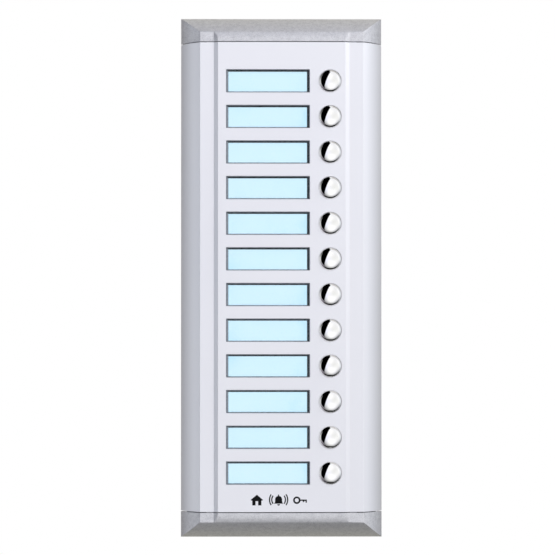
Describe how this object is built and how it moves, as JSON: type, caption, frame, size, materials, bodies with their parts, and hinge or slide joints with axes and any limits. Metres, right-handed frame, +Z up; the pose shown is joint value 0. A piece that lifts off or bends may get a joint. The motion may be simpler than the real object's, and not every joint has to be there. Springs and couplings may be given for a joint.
{
  "type": "door intercom panel",
  "caption": "Surface-mounted door call panel: satin aluminium extrusion with end caps, lit name windows in one column, domed chrome push buttons in the other.",
  "frame": {"origin": "centre of the wall face: halfway across, halfway up, on the plane where the panel meets the wall", "axes": "+X to the right of a person facing the panel, +Y into the wall (the panel faces -Y), +Z up"},
  "size_m": [0.125, 0.0205, 0.323],
  "materials": {
    "anodised_aluminium": "satin anodised, faint lengthwise extrusion lines",
    "cap_paint": "silver paint with a fine sandy grain",
    "chrome": "polished chrome plate",
    "clear_plastic": "clear, smooth",
    "lit_card": "translucent pale blue film, lit from behind",
    "black_plastic": "satin black",
    "opal_plastic": "opal white",
    "silicone": "matt grey silicone",
    "board_green": "green solder mask",
    "terminal_green": "moulded green",
    "base_black": "fine-textured black",
    "foam": "closed-cell foam",
    "zinc_steel": "bright zinc plate"
  },
  "bodies": {
    "panel": {"front_panel": "anodised_aluminium", "top_end_cap": "cap_paint", "bottom_end_cap": "cap_paint", "name_window_01": "clear_plastic", "name_window_02": "clear_plastic", "name_window_03": "clear_plastic", "name_window_04": "clear_plastic", "name_window_05": "clear_plastic", "name_window_06": "clear_plastic", "name_window_07": "clear_plastic", "name_window_08": "clear_plastic", "name_window_09": "clear_plastic", "name_window_10": "clear_plastic", "name_window_11": "clear_plastic", "name_window_12": "clear_plastic", "name_card_01": "lit_card", "name_card_02": "lit_card", "name_card_03": "lit_card", "name_card_04": "lit_card", "name_card_05": "lit_card", "name_card_06": "lit_card", "name_card_07": "lit_card", "name_card_08": "lit_card", "name_card_09": "lit_card", "name_card_10": "lit_card", "name_card_11": "lit_card", "name_card_12": "lit_card", "carrier_frame": "black_plastic", "light_diffuser": "opal_plastic", "keypad_mat": "silicone", "circuit_board": "board_green", "terminal_block": "terminal_green", "link_socket": "black_plastic", "base_plate": "base_black", "wall_gasket": "foam", "rear_screw_1": "zinc_steel", "rear_screw_2": "zinc_steel", "rear_screw_3": "zinc_steel", "rear_screw_4": "zinc_steel", "rear_screw_5": "zinc_steel", "rear_screw_6": "zinc_steel", "board_screw_1": "zinc_steel", "board_screw_2": "zinc_steel", "board_screw_3": "zinc_steel", "board_screw_4": "zinc_steel"},
    "button_01": {"call_button_01": "chrome"},
    "button_02": {"call_button_02": "chrome"},
    "button_03": {"call_button_03": "chrome"},
    "button_04": {"call_button_04": "chrome"},
    "button_05": {"call_button_05": "chrome"},
    "button_06": {"call_button_06": "chrome"},
    "button_07": {"call_button_07": "chrome"},
    "button_08": {"call_button_08": "chrome"},
    "button_09": {"call_button_09": "chrome"},
    "button_10": {"call_button_10": "chrome"},
    "button_11": {"call_button_11": "chrome"},
    "button_12": {"call_button_12": "chrome"}
  },
  "joints": [
    {"name": "press_01", "type": "slide", "parent": "panel", "child": "button_01", "axis": [0, 1, 0], "range_m": [0, 0.0015], "stiffness_N_per_m": 1200, "springref_m": -0.0005, "deforming": ["keypad_mat"]},
    {"name": "press_02", "type": "slide", "parent": "panel", "child": "button_02", "axis": [0, 1, 0], "range_m": [0, 0.0015], "stiffness_N_per_m": 1200, "springref_m": -0.0005, "deforming": ["keypad_mat"]},
    {"name": "press_03", "type": "slide", "parent": "panel", "child": "button_03", "axis": [0, 1, 0], "range_m": [0, 0.0015], "stiffness_N_per_m": 1200, "springref_m": -0.0005, "deforming": ["keypad_mat"]},
    {"name": "press_04", "type": "slide", "parent": "panel", "child": "button_04", "axis": [0, 1, 0], "range_m": [0, 0.0015], "stiffness_N_per_m": 1200, "springref_m": -0.0005, "deforming": ["keypad_mat"]},
    {"name": "press_05", "type": "slide", "parent": "panel", "child": "button_05", "axis": [0, 1, 0], "range_m": [0, 0.0015], "stiffness_N_per_m": 1200, "springref_m": -0.0005, "deforming": ["keypad_mat"]},
    {"name": "press_06", "type": "slide", "parent": "panel", "child": "button_06", "axis": [0, 1, 0], "range_m": [0, 0.0015], "stiffness_N_per_m": 1200, "springref_m": -0.0005, "deforming": ["keypad_mat"]},
    {"name": "press_07", "type": "slide", "parent": "panel", "child": "button_07", "axis": [0, 1, 0], "range_m": [0, 0.0015], "stiffness_N_per_m": 1200, "springref_m": -0.0005, "deforming": ["keypad_mat"]},
    {"name": "press_08", "type": "slide", "parent": "panel", "child": "button_08", "axis": [0, 1, 0], "range_m": [0, 0.0015], "stiffness_N_per_m": 1200, "springref_m": -0.0005, "deforming": ["keypad_mat"]},
    {"name": "press_09", "type": "slide", "parent": "panel", "child": "button_09", "axis": [0, 1, 0], "range_m": [0, 0.0015], "stiffness_N_per_m": 1200, "springref_m": -0.0005, "deforming": ["keypad_mat"]},
    {"name": "press_10", "type": "slide", "parent": "panel", "child": "button_10", "axis": [0, 1, 0], "range_m": [0, 0.0015], "stiffness_N_per_m": 1200, "springref_m": -0.0005, "deforming": ["keypad_mat"]},
    {"name": "press_11", "type": "slide", "parent": "panel", "child": "button_11", "axis": [0, 1, 0], "range_m": [0, 0.0015], "stiffness_N_per_m": 1200, "springref_m": -0.0005, "deforming": ["keypad_mat"]},
    {"name": "press_12", "type": "slide", "parent": "panel", "child": "button_12", "axis": [0, 1, 0], "range_m": [0, 0.0015], "stiffness_N_per_m": 1200, "springref_m": -0.0005, "deforming": ["keypad_mat"]}
  ]
}
